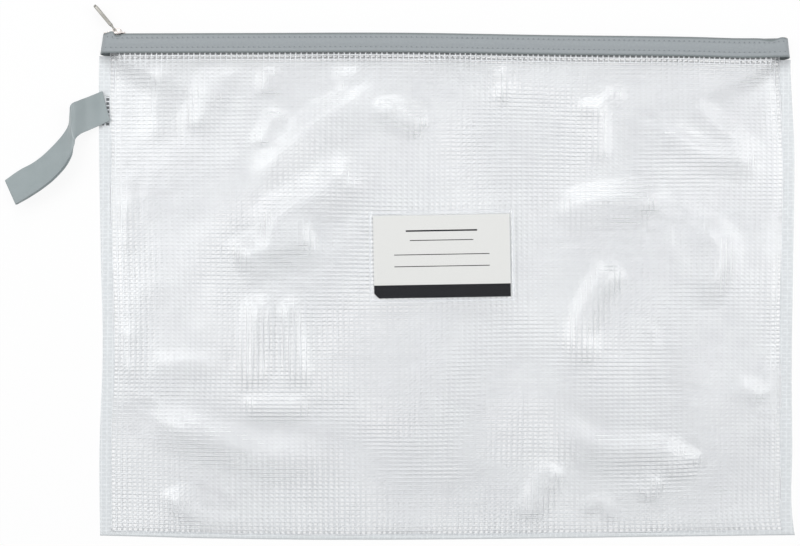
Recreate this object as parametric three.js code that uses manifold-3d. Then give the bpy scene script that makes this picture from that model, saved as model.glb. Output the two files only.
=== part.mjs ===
// A clear mesh-reinforced zipper pouch lying flat on its back: millimetres, +Z up, +X along the
// zipper, +Y from the bottom seam to the zipper. The origin is the middle of the back face.
import * as THREE from "three";
import { mergeVertices } from "three/addons/utils/BufferGeometryUtils.js";
import Module from "manifold-3d";

const wasm = await Module();
wasm.setup();

// Pouch
const pouchWidth = 440;
const pouchHeight = 320;
const film = 0.4;
const sideSealWidth = 7;
const bottomSealWidth = 3;
const sideRise = 40; // how far in from a side seal the front swells to its full depth
const bottomRise = 56;
const cornerRise = 6; // the same, beside the ends of the zipper
const cornerLength = 40; // the length over which that narrows towards the zipper
const joggle = 2.3; // the length over which a panel steps in to pass under the tape
const gap = 0.3; // clearance between pieces that touch

// Zipper
const tapeBand = 13;
const tapeThickness = 0.6;
const tapeLap = 6.2; // how far a panel runs in under its tape
const tapeEndInset = 2;
const coilWidth = 2.15;
const coilThickness = 1.3;
const coilGap = 0.3; // between the two halves of the closed chain
const stopLength = 1.8;
const stopWall = 0.55;
const stopReach = 1.5; // how far a stop grips past the edge of the tape
const bottomStopInset = 2.6;
const threadWidth = 0.4;
const threadHeight = 0.3;
const seamInset = 3.5; // seam stitches above the lower edge of the band
const coilSeamInset = 3.3; // coil stitches below the fold of the tape
const threadInset = 1; // end of a row of stitches, from the end of what it is sewn to

// Slider and pull
const sliderWidth = 8.2;
const sliderTailWidth = 6.6;
const sliderLength = 11;
const sliderShoulder = 5.5; // where the channel starts to narrow towards the tail
const outerPlate = 0.9;
const innerPlate = 1.2;
const flangeWall = 0.55;
const flangeInset = 1.2;
const diamondWidth = 1.6;
const diamondLength = 4.5;
const cornerRound = 1.2;
const crownLength = 5;
const crownWidth = 2;
const crownBar = 0.8;
const crownClear = 1.7; // height of the arch over the outer plate
const crownOffset = 5.4; // middle of the crown, from the front of the slider
const pivotOffset = -0.4; // pull pivot, from the middle of the crown
const pullLength = 21.3; // pivot to tip
const pullThickness = 1.8;
const pullEyeThickness = 1.1;
const pullEyeWidth = 5.2;
const pullTipWidth = 6.4;
const pullEyeBar = 1; // the bar that lies under the crown
const pullWindowEnd = 3.7;
const pullRestAngle = 130; // degrees from +X

// Wrist strap, a band folded double
const strapThickness = 2.2;
const strapLift = 1.1; // height of its underside where it leaves the seam
const strapSeam = [36.2, 57.6]; // its upper and lower edge at the side of the pouch, below the top
const strapAnchorCorners = [
  [1.4, 35.7], // inward from the side of the pouch, and below the top
  [6.3, 53.8],
];
// Upper edge, then lower edge: outward from the side, below the top, and the underside's height.
const strapUpper = [
  [0.3, 36.2, 1.1],
  [9, 39.6, 3.6],
  [17.4, 43.2, 7],
  [21, 51.5, 6.2],
  [25.2, 65.5, 1.6],
  [38.1, 78.4, 0.8],
  [52.4, 86.8, 0.8],
  [61.2, 92.7, 0.8],
];
const strapLower = [
  [0.3, 57.6, 1.1],
  [8.5, 61.3, 3.6],
  [17.2, 66, 7],
  [18.1, 71, 9.5],
  [20.6, 77.5, 13],
  [29, 89, 13.5],
  [41, 98, 11],
  [53.4, 107.6, 8],
];
const strapSteps = 28;

// Label in its clear pocket
const cardWidth = 86;
const cardHeight = 52;
const cardThickness = 0.3;
const cardCorner = 3; // clipped lower left corner
const labelCentre = [-3.2, 19.5];
const labelTurn = 1; // degrees
const pocketFilm = 0.2;
const pocketBorder = 2.5;

// Driven sizes
const halfWidth = pouchWidth / 2;
const top = pouchHeight / 2;
const foldY = -top;
const zipDepth = sliderWidth + 2 * (gap + tapeThickness);
const zipMiddle = zipDepth / 2;
const bandY = top - tapeBand;
const panelHalf = halfWidth - sideSealWidth - gap;
const panelBottom = foldY + bottomSealWidth + gap;
const panelTop = bandY + tapeLap;
const frontTopZ = zipDepth - tapeThickness - gap;
const frontEdgeZ = 2 * film + gap;
const lapStep = tapeThickness + gap; // how far a panel steps in to pass under its tape
const backLapZ = lapStep + film;
const tapeEdge = diamondWidth / 2 + gap; // from the middle of the chain to the edge of a tape
const tapeEnd = halfWidth - tapeEndInset;
const coilTop = top - tapeThickness - gap;
const coilBottom = coilTop - coilThickness;
const innerPlateTop = coilBottom - gap;
const outerPlateBottom = top + gap;
const outerPlateTop = outerPlateBottom + outerPlate;
const topStopStart = -tapeEnd + tapeThickness + 2 * gap;
const coilStart = topStopStart + stopLength + gap;
const sliderStart = coilStart + gap;
const bottomStopStart = tapeEnd - tapeThickness - gap - bottomStopInset - stopLength;
const coilEnd = bottomStopStart - gap;
const crownMiddle = sliderStart + crownOffset;
const pivotX = crownMiddle + pivotOffset;
const pivotY = outerPlateTop + crownClear / 2;

const finish = {
  film: { color: 0xdde1e6, roughness: 0.28, metalness: 0, transparent: true, opacity: 0.55 },
  seal: { color: 0xe6e9ec, roughness: 0.22, metalness: 0, transparent: true, opacity: 0.7 },
  tape: { color: 0x9ca3a6, roughness: 0.75, metalness: 0 },
  coil: { color: 0x8c9496, roughness: 0.5, metalness: 0 },
  thread: { color: 0x7f878b, roughness: 0.8, metalness: 0 },
  nickel: { color: 0xc9bdb6, roughness: 0.25, metalness: 1 },
  pull: { color: 0xb9b9ae, roughness: 0.3, metalness: 1 },
  strap: { color: 0x9aa5a6, roughness: 0.6, metalness: 0 },
  pocket: { color: 0xeef1f4, roughness: 0.12, metalness: 0, transparent: true, opacity: 0.35 },
  card: { color: 0xe4e4df, roughness: 0.8, metalness: 0 },
};

function piece(name, geometry, look) {
  const mesh = new THREE.Mesh(geometry, new THREE.MeshStandardMaterial(finish[look]));
  mesh.name = name;
  return mesh;
}

function solid(geometry) {
  const bare = geometry.clone();
  bare.deleteAttribute("normal");
  bare.deleteAttribute("uv");
  const merged = mergeVertices(bare, 1e-4);
  return new wasm.Manifold(
    new wasm.Mesh({
      numProp: 3,
      vertProperties: new Float32Array(merged.attributes.position.array),
      triVerts: new Uint32Array(merged.index.array),
    }),
  );
}

function geometryOf(manifold) {
  const mesh = manifold.getMesh();
  const geometry = new THREE.BufferGeometry();
  geometry.setAttribute("position", new THREE.BufferAttribute(mesh.vertProperties, 3));
  geometry.setIndex(new THREE.BufferAttribute(mesh.triVerts, 1));
  geometry.computeVertexNormals();
  return geometry;
}

function joined(geometries) {
  return geometryOf(geometries.map(solid).reduce((a, b) => a.add(b)));
}

function box(x0, x1, y0, y1, z0, z1) {
  return new THREE.BoxGeometry(x1 - x0, y1 - y0, z1 - z0).translate(
    (x0 + x1) / 2,
    (y0 + y1) / 2,
    (z0 + z1) / 2,
  );
}

// A plane figure pushed out along one axis. Its two coordinates are the next two axes in turn:
// (y, z) along x, (z, x) along y and (x, y) along z.
const turns = {
  x: new THREE.Matrix4().set(0, 0, 1, 0, 1, 0, 0, 0, 0, 1, 0, 0, 0, 0, 0, 1),
  y: new THREE.Matrix4().set(0, 1, 0, 0, 0, 0, 1, 0, 1, 0, 0, 0, 0, 0, 0, 1),
  z: new THREE.Matrix4(),
};

function prism(figure, axis, from, to) {
  const points = Array.isArray(figure) && figure.map(([a, b]) => new THREE.Vector2(a, b));
  const shape = points ? new THREE.Shape(points) : figure;
  const geometry = new THREE.ExtrudeGeometry(shape, {
    depth: to - from,
    bevelEnabled: false,
    curveSegments: 5,
  });
  return geometry.translate(0, 0, from).applyMatrix4(turns[axis]);
}

// A closed outline whose corners are each rounded by their own radius: [a, b, radius].
function rounded(corners) {
  const shape = new THREE.Shape();
  corners.forEach(([a, b, radius], i) => {
    const corner = new THREE.Vector2(a, b);
    const before = new THREE.Vector2(...corners[(i + corners.length - 1) % corners.length]);
    const after = new THREE.Vector2(...corners[(i + 1) % corners.length]);
    const start = before.sub(corner).setLength(radius).add(corner);
    const end = after.sub(corner).setLength(radius).add(corner);
    if (i === 0) shape.moveTo(start.x, start.y);
    else shape.lineTo(start.x, start.y);
    if (radius > 0) shape.quadraticCurveTo(a, b, end.x, end.y);
  });
  shape.closePath();
  return shape;
}

// A closed sheet between two like grids of points, the upper one seen from above with its rows
// running along +Y and its columns along +X.
function sheet(upper, lower) {
  const rows = upper.length;
  const columns = upper[0].length;
  const index = [];
  const at = (layer, r, c) => (layer * rows + r) * columns + c;
  const quad = (a, b, c, d) => index.push(a, b, c, a, c, d);
  for (let r = 0; r + 1 < rows; r++)
    for (let c = 0; c + 1 < columns; c++) {
      quad(at(0, r, c), at(0, r, c + 1), at(0, r + 1, c + 1), at(0, r + 1, c));
      quad(at(1, r, c), at(1, r + 1, c), at(1, r + 1, c + 1), at(1, r, c + 1));
    }
  for (let c = 0; c + 1 < columns; c++) {
    const last = rows - 1;
    quad(at(1, 0, c), at(1, 0, c + 1), at(0, 0, c + 1), at(0, 0, c));
    quad(at(0, last, c), at(0, last, c + 1), at(1, last, c + 1), at(1, last, c));
  }
  for (let r = 0; r + 1 < rows; r++) {
    const last = columns - 1;
    quad(at(0, r, 0), at(0, r + 1, 0), at(1, r + 1, 0), at(1, r, 0));
    quad(at(1, r, last), at(1, r + 1, last), at(0, r + 1, last), at(0, r, last));
  }
  const geometry = new THREE.BufferGeometry();
  geometry.setAttribute(
    "position",
    new THREE.Float32BufferAttribute([upper, lower].flat(2).flatMap((p) => [...p]), 3),
  );
  geometry.setIndex(index);
  geometry.computeVertexNormals();
  return geometry;
}

function lowered(rows, by) {
  return rows.map((row) => row.map(([x, y, z]) => [x, y, z - by]));
}

// A quarter sine from 0 to 1 as t goes from 0 to 1, and 1 from there on.
const swell = (t) => Math.sin((Math.PI / 2) * Math.min(1, Math.max(0, t)));
// A smooth step from 0 to 1.
const ease = (t) => THREE.MathUtils.smoothstep(t, 0, 1);

// How far the back panel and the seals have stepped up at height y of the pouch.
const step = (y) => lapStep * ease((y - bandY + joggle) / joggle);
// How far in from the seal the front panel reaches its full depth.
const riseAt = (y) =>
  THREE.MathUtils.lerp(sideRise, cornerRise, ease((y - bandY + cornerLength) / cornerLength));

// Columns of the front panel: close together over the rise at each side and even between.
const riseColumns = 7;
const evenColumns = 8;
function columnsAt(y) {
  const rise = riseAt(y);
  const flat = panelHalf - rise;
  const left = Array.from({ length: riseColumns }, (_, i) => -panelHalf + rise * (i / riseColumns) ** 1.4);
  const middle = Array.from({ length: evenColumns + 1 }, (_, i) => flat * ((2 * i) / evenColumns - 1));
  return [...left, ...middle, ...left.map((x) => -x).reverse()];
}

const stepRows = [0, 0.25, 0.5, 0.75].map((t) => bandY - joggle * (1 - t));
const lapRows = [bandY, panelTop];

function frontRows() {
  const cornerStart = bandY - cornerLength;
  const swellRows = Array.from({ length: 8 }, (_, i) => panelBottom + bottomRise * (i / 8) ** 1.4);
  const middleRows = [0, 1, 2, 3].map((i) =>
    THREE.MathUtils.lerp(panelBottom + bottomRise, cornerStart, i / 4),
  );
  const cornerRows = [0, 0.15, 0.3, 0.45, 0.6, 0.75, 0.88].map((t) => cornerStart + cornerLength * t);
  return [...swellRows, ...middleRows, ...cornerRows, ...stepRows, ...lapRows].map((y) =>
    columnsAt(y).map((x) => {
      const edge = frontEdgeZ + step(y);
      const deep = swell((panelHalf - Math.abs(x)) / riseAt(y)) * swell((y - panelBottom) / bottomRise);
      return [x, y, edge + (frontTopZ - edge) * deep];
    }),
  );
}

function backRows() {
  return [panelBottom, ...stepRows, ...lapRows].map((y) =>
    [-panelHalf, panelHalf].map((x) => [x, y, film + step(y)]),
  );
}

function sideSeal(side) {
  const x0 = side > 0 ? halfWidth - sideSealWidth : -halfWidth;
  const rows = [foldY, ...stepRows, bandY - gap].map((y) =>
    [x0, x0 + sideSealWidth].map((x) => [x, y, 2 * film + step(y)]),
  );
  return sheet(rows, lowered(rows, 2 * film));
}

// The tape of the back half of the zipper: the band that shows and its fold over the top edge.
// The front half is its mirror image.
function tape() {
  return joined([
    box(-tapeEnd, tapeEnd, bandY, top, 0, tapeThickness),
    box(-tapeEnd, tapeEnd, top - tapeThickness, top, 0, zipMiddle - tapeEdge),
  ]);
}

// One end of that tape, turned in to close the end of the zipper.
function tapeTurn(side) {
  const x0 = side > 0 ? tapeEnd - tapeThickness : -tapeEnd;
  return box(x0, x0 + tapeThickness, bandY, coilTop, tapeThickness + gap, zipMiddle - gap / 2);
}

// Half of the coil chain seen along Y, as (z, x): it parts round the front of the slider.
function coil() {
  const part = sliderStart + diamondLength + 2 * gap;
  const meet = part + 2 * (tapeEdge - coilGap / 2);
  const side = (inner) => zipMiddle - inner;
  const figure = [
    [side(tapeEdge), coilStart],
    [side(tapeEdge), part],
    [side(coilGap / 2), meet],
    [side(coilGap / 2), coilEnd],
    [side(coilGap / 2 + coilWidth), coilEnd],
    [side(coilGap / 2 + coilWidth), meet],
    [side(tapeEdge + coilWidth), part],
    [side(tapeEdge + coilWidth), coilStart],
  ];
  return prism(figure, "y", coilBottom, coilTop);
}

// A clip that grips the edge of one tape, as (y, z).
function topStop() {
  const web = zipMiddle - tapeEdge + gap;
  const reach = zipMiddle - tapeEdge - stopReach;
  const figure = [
    [coilBottom, reach],
    [coilTop, reach],
    [coilTop, web],
    [top + gap, web],
    [top + gap, reach],
    [top + gap + stopWall, reach],
    [top + gap + stopWall, web + stopWall],
    [coilBottom, web + stopWall],
  ];
  return prism(figure, "x", topStopStart, topStopStart + stopLength);
}

// A clip like a letter H that holds both tapes together, as (y, z).
function bottomStop() {
  const web = diamondWidth / 2;
  const reach = tapeEdge + stopReach;
  const outline = (side) => [
    [coilBottom, side * reach],
    [coilTop, side * reach],
    [coilTop, side * web],
    [top + gap, side * web],
    [top + gap, side * reach],
    [top + gap + stopWall, side * reach],
  ];
  const figure = [...outline(-1), ...outline(1).reverse()].map(([y, z]) => [y, z + zipMiddle]);
  return prism(figure, "x", bottomStopStart, bottomStopStart + stopLength);
}

// The slider with its front at x = 0 and its middle at z = 0: two plates joined by the diamond
// that parts the chain, flanges that hold the coil, and the crown that holds the pull.
function slider() {
  const wide = sliderWidth / 2;
  const narrow = sliderTailWidth / 2;
  const plate = rounded([
    [-wide, 0, cornerRound],
    [-wide, sliderShoulder, cornerRound],
    [-narrow, sliderLength, cornerRound],
    [narrow, sliderLength, cornerRound],
    [wide, sliderShoulder, cornerRound],
    [wide, 0, cornerRound],
  ]);
  const flange = (side) => {
    const taper = flangeInset / (sliderLength - sliderShoulder);
    const edge = [
      [side * wide, flangeInset],
      [side * wide, sliderShoulder],
      [side * THREE.MathUtils.lerp(narrow, wide, taper), sliderLength - flangeInset],
    ];
    const inner = edge.map(([z, x]) => [z - side * flangeWall, x]).reverse();
    return prism([...edge, ...inner], "y", innerPlateTop - innerPlate / 2, coilTop);
  };
  const nose = diamondWidth / 2;
  const diamond = [
    [-nose, gap],
    [-nose, diamondLength - nose],
    [0, diamondLength],
    [nose, diamondLength - nose],
    [nose, gap],
  ];
  const arch = crownLength / 2;
  const crown = rounded([
    [crownOffset - arch, -outerPlate / 2, 0],
    [crownOffset - arch, crownClear + crownBar, cornerRound],
    [crownOffset + arch, crownClear + crownBar, cornerRound],
    [crownOffset + arch, -outerPlate / 2, 0],
    [crownOffset + arch - crownBar, -outerPlate / 2, 0],
    [crownOffset + arch - crownBar, crownClear, 0],
    [crownOffset - arch + crownBar, crownClear, 0],
    [crownOffset - arch + crownBar, -outerPlate / 2, 0],
  ]);
  return joined([
    prism(plate, "y", outerPlateBottom, outerPlateTop),
    prism(plate, "y", innerPlateTop - innerPlate, innerPlateTop),
    flange(-1),
    flange(1),
    prism(diamond, "y", innerPlateTop - innerPlate / 2, outerPlateTop - outerPlate / 2),
    prism(crown, "z", -crownWidth / 2, crownWidth / 2).translate(0, outerPlateTop, 0),
  ]);
}

// The pull with its pivot at the origin and its length along +X, as (z, x) figures.
function pull() {
  const bar = pullEyeBar / 2;
  const eye = pullEyeWidth / 2;
  const tip = pullTipWidth / 2;
  const window = crownWidth / 2 + gap;
  const ring = rounded([
    [-eye, -bar, bar],
    [-eye, pullWindowEnd + 2, 0],
    [eye, pullWindowEnd + 2, 0],
    [eye, -bar, bar],
  ]);
  const hole = new THREE.Path();
  hole.moveTo(-window, bar);
  hole.lineTo(window, bar);
  hole.lineTo(window, pullWindowEnd);
  hole.lineTo(-window, pullWindowEnd);
  hole.closePath();
  ring.holes.push(hole);
  const blade = rounded([
    [-eye, pullWindowEnd + gap, 0],
    [-tip, pullLength, tip * 0.8],
    [tip, pullLength, tip * 0.8],
    [eye, pullWindowEnd + gap, 0],
  ]);
  return joined([
    prism(ring, "y", -pullEyeThickness / 2, pullEyeThickness / 2),
    prism(blade, "y", -pullThickness / 2, pullThickness / 2),
  ]);
}

// The free part of the strap: a band between two edge curves, thickened square to its face.
function strap() {
  const edge = (points) =>
    new THREE.CatmullRomCurve3(
      points.map(([out, below, z]) => new THREE.Vector3(-halfWidth - out, top - below, z)),
      false,
      "centripetal",
    );
  const upperEdge = edge(strapUpper);
  const lowerEdge = edge(strapLower);
  const under = [];
  const over = [];
  for (let i = 0; i <= strapSteps; i++) {
    const t = i / strapSteps;
    const a = lowerEdge.getPoint(t);
    const b = upperEdge.getPoint(t);
    const along = lowerEdge.getTangent(t).add(upperEdge.getTangent(t));
    const normal = b.clone().sub(a).cross(along).setLength(strapThickness);
    if (i === 0) normal.set(0, 0, strapThickness);
    under.push([a, b].map((p) => p.toArray()));
    over.push([a, b].map((p) => p.clone().add(normal).toArray()));
  }
  return sheet(over, under);
}

function strapAnchor() {
  const [upper, lower] = strapSeam;
  const figure = [
    [-halfWidth, top - upper],
    [-halfWidth, top - lower],
    ...strapAnchorCorners.map(([inward, below]) => [-halfWidth + inward, top - below]).reverse(),
  ];
  return prism(figure, "z", strapLift, strapLift + strapThickness);
}

function pocket() {
  const half = cardWidth / 2 + gap;
  const low = -cardHeight / 2 - gap;
  const high = cardHeight / 2 + gap + pocketBorder;
  const deep = cardThickness + 2 * gap;
  const side = half + pocketBorder;
  const outer = solid(box(-side, side, low - pocketBorder, high, gap, deep + pocketFilm));
  const inner = solid(box(-half, half, low, high + pocketBorder, 0, deep));
  return geometryOf(outer.subtract(inner));
}

function card() {
  const w = cardWidth / 2;
  const h = cardHeight / 2;
  const figure = [
    [-w, -h + cardCorner],
    [-w + cardCorner, -h],
    [w, -h],
    [w, h],
    [-w, h],
  ];
  return prism(figure, "z", gap, gap + cardThickness);
}

// The back half of the zipper turned over into the front half: z becomes zipDepth - z.
function mirrored(geometry) {
  const flipped = geometry.clone();
  flipped.applyMatrix4(new THREE.Matrix4().makeScale(1, 1, -1).setPosition(0, 0, zipDepth));
  const bare = flipped.index ? flipped.toNonIndexed() : flipped;
  const p = bare.attributes.position;
  for (let i = 0; i < p.count; i += 3)
    for (const axis of ["X", "Y", "Z"]) {
      const kept = p["get" + axis](i);
      p["set" + axis](i, p["get" + axis](i + 1));
      p["set" + axis](i + 1, kept);
    }
  bare.computeVertexNormals();
  return bare;
}

function thread(y, z, end) {
  return box(-end, end, y - threadWidth / 2, y + threadWidth / 2, z, z + threadHeight);
}

const seamY = bandY + seamInset;
const coilSeamY = top - coilSeamInset;
const onFront = zipDepth + gap / 2;
const seamEnd = tapeEnd - threadInset;
const backSeamEnd = panelHalf - threadInset;

const backHalf = new THREE.Group();
const back = backRows();
backHalf.add(
  piece("back_panel", sheet(back, lowered(back, film)), "film"),
  piece("left_side_seal", sideSeal(-1), "seal"),
  piece("right_side_seal", sideSeal(1), "seal"),
  piece("bottom_seal", box(-panelHalf, panelHalf, foldY, foldY + bottomSealWidth, 0, 2 * film), "seal"),
  piece("zipper_tape_back", tape(), "tape"),
  piece("left_tape_end_back", tapeTurn(-1), "tape"),
  piece("right_tape_end_back", tapeTurn(1), "tape"),
  piece("zipper_coil_back", coil(), "coil"),
  piece("seam_thread_back", thread(seamY, backLapZ + gap / 2, backSeamEnd), "thread"),
  piece("top_stop_back", topStop(), "nickel"),
  piece("bottom_stop", bottomStop(), "nickel"),
  piece("strap_anchor", strapAnchor(), "strap"),
);

const frontHalf = new THREE.Group();
const front = frontRows();
frontHalf.add(
  piece("front_panel", sheet(front, lowered(front, film)), "film"),
  piece("zipper_tape_front", mirrored(tape()), "tape"),
  piece("left_tape_end_front", mirrored(tapeTurn(-1)), "tape"),
  piece("right_tape_end_front", mirrored(tapeTurn(1)), "tape"),
  piece("zipper_coil_front", mirrored(coil()), "coil"),
  piece("seam_thread_front", thread(seamY, onFront, seamEnd), "thread"),
  piece("coil_thread_front", thread(coilSeamY, onFront, seamEnd), "thread"),
  piece("top_stop_front", mirrored(topStop()), "nickel"),
);

const label = new THREE.Group();
label.position.set(labelCentre[0], labelCentre[1], frontTopZ);
label.rotation.z = THREE.MathUtils.degToRad(labelTurn);
label.add(piece("label_pocket", pocket(), "pocket"), piece("label_card", card(), "card"));
frontHalf.add(label);

const sliderGroup = new THREE.Group();
sliderGroup.position.set(sliderStart, 0, zipMiddle);
sliderGroup.add(piece("slider_body", slider(), "nickel"));

const pullGroup = new THREE.Group();
pullGroup.position.set(pivotX - sliderStart, pivotY, 0);
pullGroup.rotation.z = THREE.MathUtils.degToRad(pullRestAngle);
pullGroup.add(piece("pull_tab", pull(), "pull"));
sliderGroup.add(pullGroup);

const pouch = new THREE.Group();
pouch.add(backHalf, frontHalf, sliderGroup, piece("wrist_strap", strap(), "strap"));

export default pouch;
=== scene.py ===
"""A clear mesh-reinforced zipper pouch lying on its back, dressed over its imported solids."""
import math

import bmesh
import bpy
import numpy as np
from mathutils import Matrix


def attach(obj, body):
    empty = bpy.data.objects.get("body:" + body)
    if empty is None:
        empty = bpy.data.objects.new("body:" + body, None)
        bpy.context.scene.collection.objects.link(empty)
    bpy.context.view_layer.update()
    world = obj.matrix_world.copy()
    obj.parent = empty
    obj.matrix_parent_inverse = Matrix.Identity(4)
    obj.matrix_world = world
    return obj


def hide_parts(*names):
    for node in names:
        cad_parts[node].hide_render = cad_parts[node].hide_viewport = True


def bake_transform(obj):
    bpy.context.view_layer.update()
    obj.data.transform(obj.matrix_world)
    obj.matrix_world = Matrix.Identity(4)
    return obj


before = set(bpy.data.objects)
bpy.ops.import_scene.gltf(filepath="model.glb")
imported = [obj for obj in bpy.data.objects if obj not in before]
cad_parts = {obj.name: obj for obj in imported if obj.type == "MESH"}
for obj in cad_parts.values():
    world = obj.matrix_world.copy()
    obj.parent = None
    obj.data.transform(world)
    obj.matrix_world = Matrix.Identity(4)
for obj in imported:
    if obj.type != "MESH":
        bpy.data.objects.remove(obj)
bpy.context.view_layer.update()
scene = bpy.context.scene
scene.view_settings.view_transform = "Standard"

# The camera looks straight down from a metre above the table, a little left of the pouch's
# middle, so that the strap and the pull are in the picture. It leans by a third of a degree,
# as the photographed pouch does, and the zipper itself runs along X.
EYE = (-0.0286, 0.0101, 1.0)
SEEN_WIDTH = 0.5089
LEAN = 0.0066
SLIDER_SPOT = (-209.2, 159.7)
camera = bpy.data.objects.new("camera", bpy.data.cameras.new("camera"))
camera.data.sensor_width = 36
camera.data.lens = 36 * EYE[2] / SEEN_WIDTH
camera.location = EYE
camera.rotation_euler = (0, 0, LEAN)
scene.collection.objects.link(camera)
scene.camera = camera

# Table and studio: a plain white top, an even pale sky and three big softboxes that stand far
# enough out that a level film doesn't mirror them, and only the sides of its folds do.
def wire(tree, kind, *inputs, **named):
    """A new shader node of that kind in the tree. A name in small letters is a setting of the
    node; the rest are its inputs, by place or by name, as constants or as sockets to join."""
    node = tree.nodes.new("ShaderNode" + kind)
    sockets = dict(enumerate(inputs))
    for name, value in named.items():
        if name[0].islower():
            setattr(node, name, value)
        else:
            sockets[name.replace("_", " ")] = value
    for place, value in sockets.items():
        if isinstance(value, bpy.types.NodeSocket):
            tree.links.new(value, node.inputs[place])
        else:
            node.inputs[place].default_value = value
    return node


def calc(tree, operation, *inputs, clamp=False):
    """One arithmetic step on sockets or numbers, and its result socket."""
    return wire(tree, "Math", *inputs, operation=operation, use_clamp=clamp).outputs[0]


TABLE_HALF = 4
TABLE_LEVEL = -0.0001
floor_mesh = bpy.data.meshes.new("floor")
corners = [
    (TABLE_HALF * x, TABLE_HALF * y, TABLE_LEVEL) for x, y in ((-1, -1), (1, -1), (1, 1), (-1, 1))
]
floor_mesh.from_pydata(corners, [], [(0, 1, 2, 3)])
floor = bpy.data.objects.new("floor", floor_mesh)
scene.collection.objects.link(floor)
floor_look = bpy.data.materials.new("table_top")
floor_look.use_nodes = True
tree = floor_look.node_tree
tree.nodes.clear()
ray = wire(tree, "LightPath").outputs
direct = calc(tree, "MAXIMUM", ray["Is Camera Ray"], ray["Is Glossy Ray"])
direct = calc(tree, "MAXIMUM", direct, ray["Is Transmission Ray"])
matt = wire(tree, "BsdfDiffuse", Color=(0.9, 0.9, 0.9, 1)).outputs[0]
white = wire(tree, "Emission").outputs[0]
shown = wire(tree, "MixShader", calc(tree, "MULTIPLY", direct, 0.9), matt, white).outputs[0]
wire(tree, "OutputMaterial", shown)
floor_mesh.materials.append(floor_look)

sky = bpy.data.worlds.new("studio")
sky.use_nodes = True
scene.world = sky
tree = sky.node_tree
light = tree.nodes["Background"]
light.inputs["Color"].default_value = (0.97, 0.985, 1, 1)
light.inputs["Strength"].default_value = 0.46
seen = wire(tree, "LightPath").outputs["Is Camera Ray"]
white = wire(tree, "Background").outputs[0]
shown = wire(tree, "MixShader", seen, light.outputs[0], white).outputs[0]
tree.links.new(shown, tree.nodes["World Output"].inputs["Surface"])


def softbox(name, place, size, power):
    """A square lamp of that size at place, turned to face the middle of the pouch."""
    lamp = bpy.data.lights.new(name, "AREA")
    lamp.size = size
    lamp.energy = power
    held = bpy.data.objects.new(name, lamp)
    x, y, z = place
    held.location = place
    held.rotation_euler = (math.atan2(math.hypot(x, y), z), 0, math.atan2(y, x) + math.pi / 2)
    scene.collection.objects.link(held)


softbox("softbox_left", (-1.0, 0.35, 1.25), 0.9, 7.6)
softbox("softbox_right", (1.1, 0.3, 1.25), 0.9, 7.6)
softbox("softbox_back", (-0.1, 1.1, 1.2), 0.9, 7.6)

# Back panel: clear film laid over a white open-weave scrim, cut from the same roll as the front.
# It lies on the table and is welded into the seams round it. Millimetres until a mesh is made.
BACK_LOW = (-212.7, -156.7)
BACK_HIGH = (212.7, 153.2)
BACK_STEP = (3.43, 2.66)
FILM = 0.3
YARN_WIDE = 1.05
YARN_THIN = 0.13
WELD = 0.8


def smooth(t):
    """0 below t = 0, 1 above t = 1, and the cubic 3t^2 - 2t^3 between."""
    t = np.clip(t, 0, 1)
    return t * t * (3 - 2 * t)


def step_up(y):
    """How far a panel or weld has stepped up to pass under its tape."""
    return 0.9 * smooth((y - 144.7) / 2.3)


def flowing(at, values, t):
    """A smooth line through values at the places at: a cubic with each knot's slope taken from
    the knots beside it."""
    at, values = np.asarray(at, float), np.asarray(values, float)
    slope = np.gradient(values, at)
    t = np.clip(t, at[0], at[-1])
    i = np.clip(np.searchsorted(at, t) - 1, 0, len(at) - 2)
    wide = at[i + 1] - at[i]
    s = (t - at[i]) / wide
    return (
        (2 * s**3 - 3 * s**2 + 1) * values[i]
        + (s**3 - 2 * s**2 + s) * wide * slope[i]
        + (3 * s**2 - 2 * s**3) * values[i + 1]
        + (s**3 - s**2) * wide * slope[i + 1]
    )


def turned_to(x, y, angle, to):
    """x, y turned by angle about zero and then moved to that place."""
    return (
        to[0] + x * math.cos(angle) - y * math.sin(angle),
        to[1] + x * math.sin(angle) + y * math.cos(angle),
    )


def squared(x, y):
    """Turns a place by LEAN about the slider, so that the zipper runs along X."""
    return turned_to(x - SLIDER_SPOT[0], y - SLIDER_SPOT[1], LEAN, SLIDER_SPOT)


def as_laid(x, y):
    """Where a point of the cut pouch lies: each edge is moved by its own smooth line, the move
    fades towards the middle of the pouch, and the whole is turned to bring the zipper along X."""
    left = flowing([-160, -104, -40, 24, 87, 147, 160], [-0.2, -0.5, 1.5, 0.2, -0.7, -0.6, 0], y)
    right = flowing(
        [-160, -151, -104, -40, 24, 87, 147, 160], [1.2, 0, -0.3, -0.6, 0.4, 1, -1.5, -1.6], y
    )
    bottom = flowing(
        [-220, -157, -93, -30, 34, 98, 161, 220], [2.1, 0.5, -0.5, -0.5, 0, 0.8, 1.7, 2.4], x
    )
    high = flowing([-220, -125, -30, 66, 161, 186, 220], [0, 0.3, 0.5, -1.0, -2.3, -3.0, -2.4], x)
    out = x + left * smooth((-x - 60) / 150) + right * smooth((x - 60) / 150)
    up = y + bottom * smooth((-y - 40) / 115) + high * smooth((y - 30) / 110)
    return squared(out, up)


def laid(u, v, z):
    """Points of the laid pouch over places u, v of the cut one, at height z."""
    return np.stack(np.broadcast_arrays(*as_laid(u, v), z), -1)


def unit(ways):
    """Those vectors, each made 1 long."""
    return ways / np.linalg.norm(ways, axis=-1, keepdims=True)


def waves(x, y, length, seed, count=14):
    """Uneven ripples between about -1 and 1: count sine waves of nearly that length, each in
    its own direction."""
    dice = np.random.default_rng(seed)
    turn = dice.uniform(0, 2 * np.pi, count)
    pace = 2 * np.pi / (length * dice.uniform(0.7, 1.4, count))
    start = dice.uniform(0, 2 * np.pi, count)
    total = sum(
        np.sin(p * (x * np.cos(a) + y * np.sin(a)) + s) for a, p, s in zip(turn, pace, start)
    )
    return total / math.sqrt(count) / 1.4


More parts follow.
